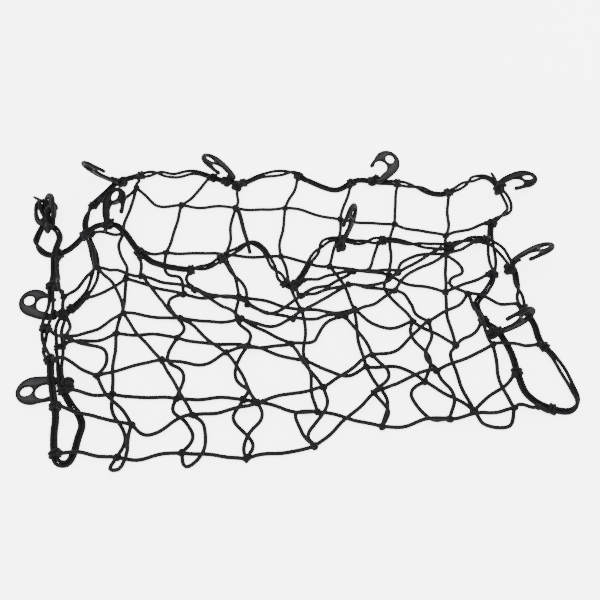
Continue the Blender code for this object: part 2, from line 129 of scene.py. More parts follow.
# -------- laying the net down
# The border's lower half goes down first, then the five cross lines that lie on the
# surface, then the border's other half and the lines that are folded back on top. Each
# cord rides over what it crosses and sinks back between, by the same rules and tables as
# its solid, so both lie at one height.

CORD = 4.0            # thickness of the elastic cord
KNOT = 8.0            # room that a mesh knot takes
HITCH = 5.6           # room that the hitch on the border takes
BORDER_WIDTH = 8.0    # the border is two cords side by side
BORDER_HEIGHT = 4.0
GAP = 1.1             # left where one cord crosses another
HITCH_GAP = 0.7       # left between the border and what is hitched to it
STEP = 2.5            # spacing at which a lying cord feels for what is under it
CURVE_POINTS = 16     # worked out between two places of a smooth curve
BOW, BOW_TURN = 2.2, 2.4  # how far a slack cord bows, and how this turns from cord to cord,
SWAY, SWAY_TURN = 2.0, 1.7  # and the same for its S
DRAPE = 26.0          # a cord comes down from what it crosses over this length
CORD_STRAY = 1.9      # how far a plain cord may stray sideways from its smooth line,
BORDER_STRAY = 1.2    # and the border,
RISE_CARE = 3.0       # and this many times less in height
STRAY = 2.0           # room left sideways for straying
TIE_ZONE = 13.0       # cords tied to one knot don't ride over each other this near it
BORDER = -2           # marks the border among the owners in the pile,
NOBODY = -1           # and what no knot holds
FIRST_LINE_ABOVE = 6  # the cross line at the fold, the first on the border above

# Where each mesh knot lies: one row for each cross line of the mesh, from the far border
# to the border that is folded back on top, and one column for each lengthwise cord.
KNOT_LINES = [
    # cord 1,      cord 2,       cord 3,       cord 4,      cord 5,      cord 6,      cord 7
    ((-233, 178), (-166, 148), (-90, 143), (-21, 143), (56, 124), (130, 116), (199, 97)),
    ((-241, 101), (-180, 70), (-100, 66), (-26, 64), (39, 48), (117, 35), (189, 9)),
    ((-229, 30), (-151, 6), (-79, 2), (2, -17), (70, -16), (143, -33), (194, -67)),
    ((-231, -50), (-154, -56), (-65, -67), (6, -87), (81, -95), (151, -114), (206, -151)),
    ((-225, -130), (-148, -136), (-68, -137), (21, -152), (96, -170), (176, -161), (254, -147)),
    ((-209, -206), (-136, -201), (-61, -208), (17, -193), (89, -128), (167, -100), (240, -65)),
    ((-197, -168), (-127, -156), (-50, -143), (28, -121), (89, -79), (163, -33), (218, 7)),
    ((-247, -107), (-169, -88), (-92, -76), (-11, -64), (58, -26), (123, 9), (194, 64)),
    ((-288, -60), (-224, -24), (-152, -31), (-74, -32), (-9, -29), (63, 18), (129, 38)),
    ((-306, 2), (-268, 44), (-207, 30), (-137, 12), (-67, -9), (2, 1), (70, 38)),
]
# Where each lengthwise cord is hitched to the far border and to the border on top.
FAR_HITCHES = ((-231, 203), (-127, 196), (-82, 189), (-1, 201), (75, 189), (140, 188), (210, 174))
TOP_HITCHES = ((-322, 67), (-290, 92), (-214, 68), (-146, 44), (-104, 55), (-18, 22), (-9, 20))
# Where each cross line is hitched to the border on the left and on the right.
LEFT_HITCHES = ((-291, 148), (-290, 98), (-293, -12), (-299, -66), (-280, -128),
                (-273, -204), (-288, -146), (-306, -88), (-321, -45), (-324, 15))
RIGHT_HITCHES = ((265, 119), (256, 38), (236, -30), (265, -100), (300, -147),
                 (303, -68), (286, -12), (250, 87), (201, 79), (112, 88))

# The border's way round the net, one row for each stretch of it, in the order of laying.
BORDER_ROUTE = {
    "left below": ((-282, -202), (-276, -212), (-265, -212), (-260, -200), (-258, -183),
                   (-256, -168), (-262, -155), (-271, -145), (-282, -128), (-291, -104),
                   (-296, -84), (-301, -62), (-305, -42), (-300, -22), (-284, -2), (-274, 17),
                   (-271, 44), (-278, 70), (-290, 98), (-297, 121), (-290, 150), (-274, 174)),
    "far": ((-258, 192), (-217, 205), (-181, 202), (-152, 208), (-114, 194), (-82, 189),
            (-54, 202), (-15, 207), (9, 194), (50, 176), (81, 193), (112, 190), (148, 187),
            (192, 169), (217, 175), (262, 200)),
    "right below": ((284, 180), (293, 143), (266, 119), (259, 85), (256, 38), (245, 15),
                    (228, -7), (235, -32), (250, -46), (262, -76), (266, -104), (272, -128),
                    (290, -144)),
    "right above": ((318, -151), (331, -138), (327, -115), (315, -83), (301, -60),
                    (297, -36), (287, -10), (284, 15), (284, 44), (271, 70), (252, 88),
                    (232, 91), (214, 85), (197, 77), (163, 82), (120, 88), (75, 87)),
    "top": ((38, 88), (18, 62), (4, 36), (-13, 16), (-33, 42), (-50, 74), (-68, 85),
            (-88, 68), (-120, 49), (-160, 44), (-188, 50), (-214, 68), (-238, 98),
            (-256, 112), (-274, 108), (-293, 91), (-318, 72), (-340, 68), (-358, 86)),
    "left above": ((-353, 116), (-337, 110), (-327, 92), (-328, 66), (-326, 40), (-323, 15),
                   (-318, -14), (-321, -45), (-317, -72), (-304, -92), (-298, -117),
                   (-289, -147), (-287, -178)),
}

# Bends where a cord strays far from the way straight to its next knot. Each row names a
# lengthwise cord and the lines that it lies between, and the places that it goes through.
CORD_BENDS = {
    # (cord, line before): places in order towards the next line
    (1, 2): ((-248, 80), (-230, 50)),
    (1, 5): ((-220, -151), (-205, -176), (-202, -190)),
    (1, 6): ((-216, -219), (-203, -219), (-196, -198)),
    (1, 8): ((-241, -89), (-246, -73), (-265, -67)),
    (2, 2): ((-174, 41), (-158, 31)),
    (2, 3): ((-168, -6), (-148, -40)),
    (2, 4): ((-162, -76), (-161, -90), (-146, -106)),
    (2, 5): ((-149, -151), (-135, -164), (-126, -182)),
    (2, 6): ((-128, -214), (-111, -194), (-113, -168)),
    (2, 9): ((-234, 5),),
    (3, 3): ((-81, -20), (-76, -35), (-63, -51)),
    (3, 4): ((-77, -91), (-76, -109), (-61, -124)),
    (3, 5): ((-80, -160), (-55, -190)),
    (3, 6): ((-62, -194), (-46, -160)),
    (4, 5): ((-4, -156), (4, -174)),
    (4, 6): ((11, -180), (31, -145)),
    (4, 10): ((-146, 26),),
    (5, 2): ((56, 24),),
    (5, 4): ((102, -136),),
    (5, 5): ((106, -150),),
    (5, 6): ((106, -103),),
    (5, 10): ((-78, 20),),
    (6, 2): ((112, 10),),
    (6, 3): ((141, -50), (157, -84)),
    (6, 4): ((136, -131), (155, -160)),
    (6, 5): ((181, -130),),
    (6, 6): ((156, -84), (166, -57)),
    (6, 7): ((148, -22), (143, -8), (136, 5)),
    (7, 3): ((186, -85),),
    (7, 4): ((215, -169), (246, -170)),
    (7, 5): ((240, -110),),
    (7, 6): ((220, -20),),
    (7, 7): ((198, 20), (215, 42)),
    (7, 8): ((170, 71), (138, 57)),
}

# The same for cross lines: each row names a line and the cord that the bend comes after,
# where 0 is the left border.
LINE_BENDS = {
    (1, 0): ((-262, 152),),
    (1, 1): ((-203, 150),),
    (2, 1): ((-205, 72),),
    (3, 0): ((-262, 2),),
    (3, 5): ((110, -44),),
    (4, 4): ((50, -107),),
    (4, 5): ((120, -92),),
    (7, 0): ((-240, -160),),
    (7, 1): ((-174, -179),),
    (7, 5): ((128, -66),),
    (7, 6): ((196, -18),),
    (8, 0): ((-285, -86),),
    (8, 2): ((-125, -91),),
    (8, 4): ((15, -63), (25, -53), (38, -34)),
    (8, 6): ((150, 40),),
    (9, 4): ((-36, -42),),
    (9, 6): ((95, 16),),
    (10, 5): ((-38, -26),),
    (10, 7): ((90, 42),),
}


def smooth_path(places, closed=False, step=STEP):
    """Points every `step` along a smooth curve through the given places.

    Each stretch is a cubic between two places whose slope at a place is half the way
    from the one before to the one after.
    """
    places = np.array(places, dtype=float)
    count = len(places)
    if closed:
        before, start = np.roll(places, 1, axis=0), places
        end, after = np.roll(places, -1, axis=0), np.roll(places, -2, axis=0)
    else:
        padded = np.vstack([2 * places[0] - places[1], places, 2 * places[-1] - places[-2]])
        before, start = padded[:count - 1], padded[1:count]
        end, after = padded[2:count + 1], padded[3:]
    t = np.linspace(0, 1, CURVE_POINTS, endpoint=False)[None, :, None]
    before, start, end, after = (block[:, None, :] for block in (before, start, end, after))
    curve = (start + 0.5 * t * (end - before)
             + t ** 2 * (before - 2.5 * start + 2 * end - 0.5 * after)
             + t ** 3 * (1.5 * (start - end) + 0.5 * (after - before))).reshape(-1, 2)
    curve = np.vstack([curve, places[:1] if closed else places[-1:]])
    return spaced(curve, step)


def run_along(path):
    """The length of the path up to each of its points."""
    return np.concatenate([[0], np.cumsum(np.linalg.norm(np.diff(path, axis=0), axis=1))])


def distances(points, place):
    """How far each point is from a place."""
    return np.linalg.norm(points - np.array(place), axis=1)


def spaced(curve, step):
    """The same curve with its points an even distance apart, as near `step` as fits."""
    run = run_along(curve)
    even = np.linspace(0, run[-1], max(2, round(run[-1] / step)) + 1)
    return np.column_stack([np.interp(even, run, column) for column in curve.T])


def unit(rows):
    """Each row, made one long."""
    return rows / np.linalg.norm(rows, axis=1)[:, None]


def leftwards(path):
    """The direction square to a flat path, to its left, at each of its points."""
    return unit(np.gradient(path, axis=0)[:, ::-1] * (-1, 1))


def sway(path, number):
    """A slack cord's gentle curve between two knots, a little different for each cord:
    bow * sin(half a turn) + S * sin(a whole turn), sideways.
    """
    along = np.linspace(0, 1, len(path))
    wave = BOW * math.sin(BOW_TURN * number) * np.sin(math.pi * along)
    wave += SWAY * math.cos(SWAY_TURN * number) * np.sin(2 * math.pi * along)
    return path + leftwards(path) * wave[:, None]


class Pile:
    """All that lies on the surface so far, as points with a top height and a half width."""

    def __init__(self):
        self.places = np.zeros((0, 2))
        self.tops = np.zeros(0)
        self.widths = np.zeros(0)
        self.owners = np.zeros((0, 2), dtype=int)

    def add(self, places, tops, half_width, owners=(NOBODY, NOBODY)):
        self.places = np.vstack([self.places, places])
        self.tops = np.concatenate([self.tops, tops])
        self.widths = np.concatenate([self.widths, np.full(len(places), half_width)])
        self.owners = np.vstack([self.owners, np.tile(owners, (len(places), 1))])

    def top_under(self, path, half_width, ends=(), end_places=()):
        """The height to clear under each point of a path that is `half_width` either side.

        What is tied to the path's own end knots doesn't count near them.
        """
        if not len(self.places):
            return np.zeros(len(path))
        apart = np.linalg.norm(path[:, None, :] - self.places[None, :, :], axis=2)
        under = apart < half_width + self.widths[None, :] + STRAY
        for owner, place in zip(ends, end_places):
            tied = (self.owners == owner).any(axis=1)
            near = distances(self.places, place) < TIE_ZONE
            own_knot = (self.owners == owner).all(axis=1)
            under[:, (tied & near) | own_knot] = False
        return np.where(under, self.tops[None, :] + GAP, 0).max(axis=1)


def eased(part):
    """From 0 to 1 with a soft start and end: 3 part^2 - 2 part^3."""
    return part ** 2 * (3 - 2 * part)


def drape(path, needs, half_height):
    """Heights of a cord's middle that clear the tops under it and come down softly."""
    run = run_along(path)
    away = np.clip(np.abs(run[:, None] - run[None, :]) / DRAPE, 0, 1)
    return half_height + ((1 - eased(away)) * needs[None, :]).max(axis=1)


def simplified(points, tolerance):
    """The few of the points that hold the line, with heights held RISE_CARE times closer."""
    weighed = points * (1, 1, RISE_CARE)
    chord = weighed[-1] - weighed[0]
    offsets = weighed - weighed[0]
    along = offsets @ chord / (chord @ chord)
    away = np.linalg.norm(offsets - along[:, None] * chord, axis=1)
    worst = away.argmax()
    if len(points) < 3 or away[worst] <= tolerance:
        return points[[0, -1]]
    return np.vstack([simplified(points[:worst + 1], tolerance)[:-1],
                      simplified(points[worst:], tolerance)])


class Net:
    """All the cords as they lie."""

    def __init__(self):
        self.strands = []        # runs of points from knot to knot
        self.knots = []          # (x, y, height, size) of each knot and hitch
        self.hitches = []        # the border's point that each hitch is tied round
        self.border = []         # the border's stretches, as runs of points,
        self.plain_border = []   # and with the few points that its solid has


def lay_strand(pile, net, start, finish, bends):
    """Lay one cord between two knots or hitches, each (place, height, owner)."""
    path = sway(smooth_path([start[0], *bends, finish[0]]), len(net.strands))
    needs = pile.top_under(path, CORD / 2, (start[2], finish[2]), (start[0], finish[0]))
    needs[0] = max(needs[0], start[1] - CORD / 2)
    needs[-1] = max(needs[-1], finish[1] - CORD / 2)
    heights = drape(path, needs, CORD / 2)
    heights[0], heights[-1] = start[1], finish[1]
    line = np.column_stack([path, heights])
    net.strands.append(line)
    plain = spaced(simplified(line, CORD_STRAY), STEP)
    pile.add(plain[:, :2], plain[:, 2] + CORD / 2, CORD / 2, (start[2], finish[2]))


def lay_knot(pile, net, place, size, owner, least=0.0):
    """Lay a knot or hitch on what is under it, its middle no lower than `least`."""
    under = pile.top_under(np.array([place], dtype=float), size / 2)[0]
    height = max(under + size / 2, least)
    pile.add([place], [height + size / 2], size / 2, (owner, owner))
    net.knots.append((*place, height, size))
    return tuple(place), height, owner


def lay_hitch(pile, net, place, towards, border, owner):
    """The end of a mesh cord, tied just inside the border's edge and level with it."""
    nearest = border[distances(border[:, :2], place).argmin()]
    way = np.array(towards, dtype=float) - nearest[:2]
    way /= np.linalg.norm(way)
    clear = BORDER_WIDTH / 2 + HITCH / 2 + HITCH_GAP
    for reach in np.arange(clear, 3 * clear, HITCH_GAP):
        inside = nearest[:2] + way * reach
        if distances(border[:, :2], inside).min() >= clear:
            break
    net.hitches.append(nearest)
    return lay_knot(pile, net, inside, HITCH, owner, nearest[2])


def lay_border(pile, net, route):
    """Lay a stretch of the border on from the last one."""
    needs = pile.top_under(route, BORDER_WIDTH / 2, (BORDER, BORDER), (route[0], route[-1]))
    before = net.plain_border[-1][-1, 2] if net.plain_border else None
    if before is not None:
        needs[0] = max(needs[0], before - BORDER_HEIGHT / 2)
    heights = drape(route, needs, BORDER_HEIGHT / 2)
    if before is not None:
        heights[0] = before
    line = np.column_stack([route, heights])
    plain = simplified(line, BORDER_STRAY)
    net.border.append(line[:-1])
    net.plain_border.append(plain)
    plain = spaced(plain, STEP)
    pile.add(plain[:, :2], plain[:, 2] + BORDER_HEIGHT / 2, BORDER_WIDTH / 2, (BORDER, 0))


def lay_borders(pile, net, names):
    """Lay the named stretches in turn, each a part of the one smooth loop."""
    places = [place for stretch in BORDER_ROUTE.values() for place in stretch]
    loop = smooth_path(places, closed=True)
    firsts = [distances(loop, stretch[0]).argmin() for stretch in BORDER_ROUTE.values()]
    firsts.append(len(loop) - 1)
    for index, name in enumerate(BORDER_ROUTE):
        if name in names:
            lay_border(pile, net, loop[firsts[index]:firsts[index + 1] + 1])
    return spaced(np.vstack(net.plain_border[-len(names):]), STEP)


# How each hook lies: the place of its foot, the way that it points, which side of it the
# throat is on, how far it is rolled on its edge, how far its crown is tipped up, and
# whether it lies under the cords or with its foot over them.
HOOKS = [
    # name,     foot x, foot y, heading, side, roll, tip, lies
    ("hook_01", -259, 180, 153, 1, 78, 1, "over"),
    ("hook_02", -99, 187, 134, 1, 37, 5, "over"),
    ("hook_03", 103, 191, 52, 1, 16, -3, "over"),
    ("hook_04", 286, 174, 25, -1, 16, -3, "over"),
    ("hook_05", -251, 106, 94, -1, 22, 3, "over"),
    ("hook_06", -335, 98, 104, -1, 50, 2, "over"),
    ("hook_07", -309, -18, 159, -1, 4, 0, "under"),
    ("hook_08", -285, -124, 185, 1, 8, 1, "under"),
    ("hook_09", 54, 77, 67, 1, 80, 4, "over"),
    ("hook_10", 284, 47, 27, -1, 46, 6, "over"),
    ("hook_11", 242, -52, 25, 1, 80, 2, "over"),
]

HOOK_LENGTH = 56.0
HOOK_THICKNESS = 4.5
HOOK_REACH = 0.8      # a hook's edge is felt this far to each side
FOOT_SLOT = (5.2, -4.6)  # the middle of the slot in its foot, along and across the hook


def hook_outline():
    """The hook's outline and its eye, foot at the origin and crown towards +X.

    The crown is part of an ellipse that tapers into the tip, the throat is an arc, and
    the foot is a small curl.
    """
    def arc(centre, radii, start, stop, count):
        angles = np.radians(np.linspace(start, stop, count))
        return [(centre[0] + radii[0] * math.cos(a), centre[1] + radii[1] * math.sin(a))
                for a in angles]

    crown = arc((35, -1), (HOOK_LENGTH - 35, 19), 114, -95, 12)
    foot = [(20, -19.3), (8, -16.5), *arc((4, -7.5), (6.5, 7.5), 225, 60, 5)]
    slot = arc(FOOT_SLOT, (2.8, 2.6), 110, 290, 4)
    throat = arc((22, 1.2), (10.8, 9.3), -112, 128, 9)
    tip = [(12.3, 9.3), (10.9, 11.8), (13.6, 14.6)]
    eye = arc((43.3, -0.6), (7.4, 6.5), 0, 315, 8)
    return crown + foot + slot + throat + tip, eye


def turned(axis, angle):
    """The matrix of a turn about one axis: (cos, -sin) and (sin, cos) in the other two."""
    turn = np.eye(3)
    one, other = (axis + 1) % 3, (axis + 2) % 3
    turn[one, one] = turn[other, other] = math.cos(angle)
    turn[other, one] = math.sin(angle)
    turn[one, other] = -math.sin(angle)
    return turn


def hook_matrix(hook):
    """Turns and places a hook: rolled on its own length, tipped up, then headed."""
    _, x, y, heading, side, roll, tip, _ = hook
    roll, tip, heading = (math.radians(angle) for angle in (roll * side, -tip, heading))
    turn = turned(2, heading) @ turned(1, tip) @ turned(0, roll) @ np.diag([1.0, side, 1.0])
    lowest = min((turn @ (px, py, pz))[2] for px, py in hook_outline()[0]
                 for pz in (-HOOK_THICKNESS / 2, HOOK_THICKNESS / 2))
    return turn, np.array([x, y, -lowest])


def hook_places(hook):
    """Places along the edges of both sides of a hook that rests on the surface."""
    turn, move = hook_matrix(hook)
    outline, _ = hook_outline()
    ring = spaced(np.array(outline + outline[:1]), STEP)
    sides = [np.column_stack([ring, np.full(len(ring), height)])
             for height in (-HOOK_THICKNESS / 2, HOOK_THICKNESS / 2)]
    return np.vstack(sides) @ turn.T + move


def knot_number(line, cord):
    """The owner's number of a knot or hitch. Line and cord count on past the mesh."""
    return 100 * line + cord


pile, net = Pile(), Net()
for hook in HOOKS:
    if hook[-1] == "under":
        places = hook_places(hook)
        pile.add(places[:, :2], places[:, 2], HOOK_REACH)
border = lay_borders(pile, net, ("left below", "far", "right below"))
knots = {}
for line, places in enumerate(KNOT_LINES, start=1):
    if line == FIRST_LINE_ABOVE:
        border = lay_borders(pile, net, ("right above", "top", "left above"))
    row = [lay_knot(pile, net, place, KNOT, knot_number(line, cord))
           for cord, place in enumerate(places, start=1)]
    for cord, knot in enumerate(row, start=1):
        start = knots.get((line - 1, cord))
        if start is None:
            start = lay_hitch(pile, net, FAR_HITCHES[cord - 1], knot[0], border,
                              knot_number(0, cord))
        lay_strand(pile, net, start, knot, CORD_BENDS.get((cord, line - 1), ()))
        knots[line, cord] = knot
    left = lay_hitch(pile, net, LEFT_HITCHES[line - 1], row[0][0], border,
                     knot_number(line, 0))
    right = lay_hitch(pile, net, RIGHT_HITCHES[line - 1], row[-1][0], border,
                      knot_number(line, len(row) + 1))
    ends = [left, *row, right]
    for cord, (start, finish) in enumerate(zip(ends, ends[1:])):
        lay_strand(pile, net, start, finish, LINE_BENDS.get((line, cord), ()))
for cord, place in enumerate(TOP_HITCHES, start=1):
    start = knots[len(KNOT_LINES), cord]
    finish = lay_hitch(pile, net, place, start[0], border,
                       knot_number(len(KNOT_LINES) + 1, cord))
    lay_strand(pile, net, start, finish, CORD_BENDS.get((cord, len(KNOT_LINES)), ()))
lifts = {}
for hook in HOOKS:
    places = hook_places(hook)
    under = pile.top_under(places[:, :2], HOOK_REACH)
    lifts[hook[0]] = (under - places[:, 2]).max() if hook[-1] == "over" else 0.0

# -------- border cord
# A single cord laid double round the net's edge: two cords of rubber strands in a tight
# woven sheath that lie side by side, part here and there, and twist over each other where
# nothing holds them.

PAIR_APART = 2.3      # from the border's middle to the middle of each cord
PARTED = (
    # where the pair parts, and how much further each cord then is from the middle
    (-214, 205, 1.9), (-170, 203, 1.6), (-35, 205, 2.0), (240, 188, 2.2), (288, 160, 1.6),
    (-297, -70, 1.8), (-303, -40, 1.4), (-320, -30, 1.7), (-270, 30, 1.8), (-276, 66, 1.5),
    (262, 60, 1.7), (322, -100, 1.2), (287, 5, 1.8), (-100, 60, 1.2), (24, 76, 1.6),
    (-28, 36, 1.8), (95, 88, 2.2), (185, 80, 1.6), (145, 187, 1.2), (268, 74, 1.8),
)
PARTED_OVER = 15.0    # mm of border over which it parts
TWIST_LENGTH = 42.0   # mm that the cords take to change sides
TWIST_ROOM = 0.8      # the part of that length that has to be free
TWIST_CLEAR = 7.4     # how far from the border's middle what crosses it is felt
OWN_CROSSING = 30.0   # mm along the border from which it can cross itself
CORD_FULL = 5.0       # thickness of the cord with its sheath,
BORDER_CORD = 4.7     # and of the border's, which is drawn tighter
SWELL = (CORD_FULL - CORD) / 2
ROUND = 10            # sides of a cord's section


def round_about(path):
    """At each point of a closed path, the way from the point before to the one after."""
    return np.roll(path, -1, axis=0) - np.roll(path, 1, axis=0)


def carried(path, radius, sides, closed=False, lean=(0, 0, 1), up_radius=None):
    """A round section carried along a path, or an oval one where up_radius is given.

    At each point of the path, across = along x lean and up = across x along, and the
    ring is point + radius cos(a) across + up_radius sin(a) up. Gives the points, the
    four-sided faces (with a cap at each open end) and where each corner lies on the
    sheath: the run along the cord in mm and the turn round it from 0 to 1.
    """
    along = unit(round_about(path) if closed else np.gradient(path, axis=0))
    across = unit(np.cross(along, np.broadcast_to(lean, path.shape)))
    up = np.cross(across, along)
    angle = (2 * math.pi * (np.arange(sides) + 0.5) / sides)[:, None]
    radius, up_radius = (np.broadcast_to(size, len(path))[:, None, None]
                         for size in (radius, radius if up_radius is None else up_radius))
    points = (path[:, None] + radius * np.cos(angle) * across[:, None]
              + up_radius * np.sin(angle) * up[:, None]).reshape(-1, 3)
    rings = len(path) if closed else len(path) - 1
    ring, side = grid(rings, sides)
    after, beside = (ring + 1) % len(path), (side + 1) % sides
    faces = np.column_stack([ring * sides + side, after * sides + side,
                             after * sides + beside, ring * sides + beside]).tolist()
    run = run_along(path)
    run = np.append(run, run[-1] + np.linalg.norm(path[0] - path[-1]))
    sheath = np.stack([np.column_stack([run[ring], run[ring + 1], run[ring + 1], run[ring]]),
                       np.column_stack([side, side, side + 1, side + 1]) / sides], axis=2)
    sheath = sheath.reshape(-1, 2)
    if not closed:
        faces += [list(range(sides)), [rings * sides + i for i in reversed(range(sides))]]
        sheath = np.vstack([sheath, np.zeros((2 * sides, 2))])
    return points, faces, sheath


def piece(name, shapes, finishes, nodes, numbers=None):
    """One object of several shapes, each with the finish of its number or the first, which
    rides on the net and stands for the named solids. Layout millimetres become metres here.
    """
    points, faces, sheaths = zip(*shapes)
    starts = np.cumsum([0] + [len(block) for block in points]).tolist()
    numbers = np.repeat(numbers or [0] * len(shapes), [len(block) for block in faces])
    faces = [[corner + start for corner in face]
             for start, block in zip(starts, faces) for face in block]
    mesh = bpy.data.meshes.new(name)
    mesh.from_pydata((np.vstack(points) + MIDDLE) * MM, [], faces)
    mesh.uv_layers.new(name="sheath").data.foreach_set("uv", np.vstack(sheaths).ravel())
    mesh.polygons.foreach_set("use_smooth", np.ones(len(faces), dtype=bool))
    mesh.polygons.foreach_set("material_index", numbers)
    for material in finishes:
        mesh.materials.append(material)
    mesh.update()
    made = added(name, mesh)
    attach(made, "root")
    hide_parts(*nodes)
    return made


class Value:
    """A shader socket. Sums, products and the like of values add their Math nodes."""

    def __init__(self, tree, socket=None):
        self.tree, self.socket = tree, socket

    def node(self, kind, settings=(), sockets=(), output=0):
        """Any node: its settings first, then the value or link of each socket."""
        made = self.tree.nodes.new(kind)
        for name, setting in dict(settings).items():
            setattr(made, name, setting)
        for name, value in dict(sockets).items():
            if isinstance(value, Value):
                self.tree.links.new(value.socket, made.inputs[name])
            else:
                made.inputs[name].default_value = value
        return Value(self.tree, made.outputs[output])

    def maths(self, operation, other=0.0, swapped=False):
        first, second = (other, self) if swapped else (self, other)
        return self.node("ShaderNodeMath", {"operation": operation}, {0: first, 1: second})

    def __add__(self, other):
        return self.maths("ADD", other)

    def __mul__(self, other):
        return self.maths("MULTIPLY", other)

    def __sub__(self, other):
        return self.maths("SUBTRACT", other)

    def __rsub__(self, other):
        return self.maths("SUBTRACT", other, swapped=True)

    __radd__, __rmul__ = __add__, __mul__

    def mixed(self, low, high):
        """The colour low where this value is 0 and high where it is 1."""
        return self.node("ShaderNodeMix", {"data_type": "RGBA"},
                         {"Factor": self, 6: (*low, 1), 7: (*high, 1)}, output=2)


def finish(name, build, **constants):
    """A finish on the plain shader: build gives colour, roughness and relief from a value."""
    made = bpy.data.materials.new(name)
    made.use_nodes = True
    tree = made.node_tree
    shader = tree.nodes["Principled BSDF"]
    for socket, value in constants.items():
        shader.inputs[socket.replace("_", " ")].default_value = value
    for socket, value in build(Value(tree)).items():
        tree.links.new(value.socket, shader.inputs[socket])
    return made


YARN_PAINTED_LIGHT, PATCH_LIT = 0.28, 0.6  # how much the high yarns are painted lighter than the grooves between them (painted highlight and painted shade), and how much slow patches of dust and wear lighten a sheath
WEAR_PATCHES = 60.0   # patches to a metre
YARN_HEIGHT = 0.00025  # metres
YARNS = 5             # yarns that cross the sheath's way round, each way
DULL = {"Specular_IOR_Level": 0.08, "IOR": 1.3}
# The sheath's darkest and lightest colours. The lighter carries the painted highlight on the high
# yarns as well as dust and wear.
BORDER_SHADES = (0.003, 0.003, 0.0033), (0.016, 0.016, 0.0175)
BORDER_PITCH = 2.4    # mm from yarn to yarn along the cord


def woven_sheath(start, shades, pitch):
    """Two sets of yarns wound opposite ways: the relief is the higher of two waves, each
    sin(run / pitch +- turns round). The high yarns are painted lighter and the grooves between
    them darker, a painted highlight and painted shade, and dust and wear lighten it in slow
    patches.
    """
    where = start.node("ShaderNodeUVMap", {"uv_map": "sheath"})
    split = where.node("ShaderNodeSeparateXYZ", sockets={0: where})
    run = Value(start.tree, split.socket.node.outputs[0]) * (2 * math.pi / pitch)
    turn = Value(start.tree, split.socket.node.outputs[1]) * (2 * math.pi * YARNS)
    one = (run + turn).maths("SINE")
    other = (run - turn).maths("SINE")
    relief = one.maths("MAXIMUM", other)
    place = start.node("ShaderNodeTexCoord", output=3)
    patches = start.node("ShaderNodeTexNoise",
                         sockets={"Vector": place, "Scale": WEAR_PATCHES, "Detail": 3.0})
    # Painted highlight on the high yarns and painted shade in the grooves between them, with slow
    # patches of real dust and wear.
    painted_light_and_wear = relief * YARN_PAINTED_LIGHT + patches * PATCH_LIT - 0.08
    bump = start.node("ShaderNodeBump",
                      sockets={"Height": relief, "Strength": 0.5, "Distance": YARN_HEIGHT})
    return {"Base Color": painted_light_and_wear.mixed(*shades), "Roughness": 0.7 - relief * 0.12, "Normal": bump}


border_sheath = finish(
    "border_sheath", lambda start: woven_sheath(start, BORDER_SHADES, BORDER_PITCH), **DULL)


def border_pair(line, crossed):
    """The two cords of the border from its middle line and where something crosses it.

    Their middles are line + side * apart * cos(turn) and, above the bottom, one radius
    plus radius * (|sin(turn)| + sin(turn)), with half a turn between the two.
    """
    side = np.cross(unit(round_about(line) * (1, 1, 0)), (0, 0, 1))
    run = np.arange(len(line)) * STEP
    apart = np.full(len(line), PAIR_APART)
    for x, y, more in PARTED:
        away = distances(line[:, :2], (x, y))
        apart += more * np.exp(-(away / PARTED_OVER) ** 2)
    edges = np.flatnonzero(np.diff(np.concatenate([[1], crossed, [1]])))
    free = [(run[first], run[last - 1]) for first, last in zip(edges[::2], edges[1::2])
            if run[last - 1] - run[first] > TWIST_LENGTH * TWIST_ROOM]
    turn = np.zeros(len(line))
    for first, last in free[:len(free) // 2 * 2]:
        length = min(TWIST_LENGTH, last - first)
        done = np.clip((run - (first + last - length) / 2) / length, 0, 1)
        turn += math.pi * eased(done)
    for half in (0, math.pi):
        height = np.abs(np.sin(turn)) + np.sin(turn + half)
        cord = line + side * (apart * np.cos(turn + half))[:, None]
        cord[:, 2] += BORDER_CORD / 2 * (1 + height) - BORDER_HEIGHT / 2
        yield cord


# The border's middle line, its heights smoothed over five points.
border_line = np.vstack(net.border)
weights = np.array([1, 2, 3, 2, 1]) / 9
around = np.concatenate([border_line[-2:, 2], border_line[:, 2], border_line[:2, 2]])
border_line[:, 2] = np.convolve(around, weights, "valid")

# It is crossed where a knot, a cord or a hook is near, and where it comes over itself.
others = np.vstack([pile.places[pile.owners[:, 0] != BORDER],
                    *(hook_places(hook)[:, :2] for hook in HOOKS)])
apart = np.linalg.norm(border_line[:, None, :2] - others[None], axis=2)
crossed = apart.min(axis=1) < TWIST_CLEAR
steps = np.abs(np.arange(len(border_line))[:, None] - np.arange(len(border_line)))
steps = np.minimum(steps, len(border_line) - steps) * STEP
apart = np.linalg.norm(border_line[:, None, :2] - border_line[None, :, :2], axis=2)
crossed |= ((apart < TWIST_CLEAR + CORD) & (steps > OWN_CROSSING)).any(axis=1)
pair = [carried(cord, BORDER_CORD / 2, ROUND, closed=True)
        for cord in border_pair(border_line, crossed.astype(int))]
piece("border_pair", pair, [border_sheath], ["border_cord"])

# -------- mesh cords
# Lengthwise cords and cross cords of the same elastic, a little more worn than the border.
# Each runs from the border through its knots and lies slack between them.

SLACK = 1.0           # mm to each side
SLACK_WAVE = 9.0      # mm of cord to each unit of the wave's angle
SLACK_TURN = 2.3      # how the wave's start turns from cord to cord
# The same for the mesh cords: the lighter colour carries the painted highlight on the high yarns
# as well as dust and wear.
MESH_SHADES = (0.0035, 0.0035, 0.0038), (0.018, 0.018, 0.0195)
MESH_PITCH = 2.2      # mm from yarn to yarn along the cord

mesh_sheath = finish(
    "mesh_sheath", lambda start: woven_sheath(start, MESH_SHADES, MESH_PITCH), **DULL)


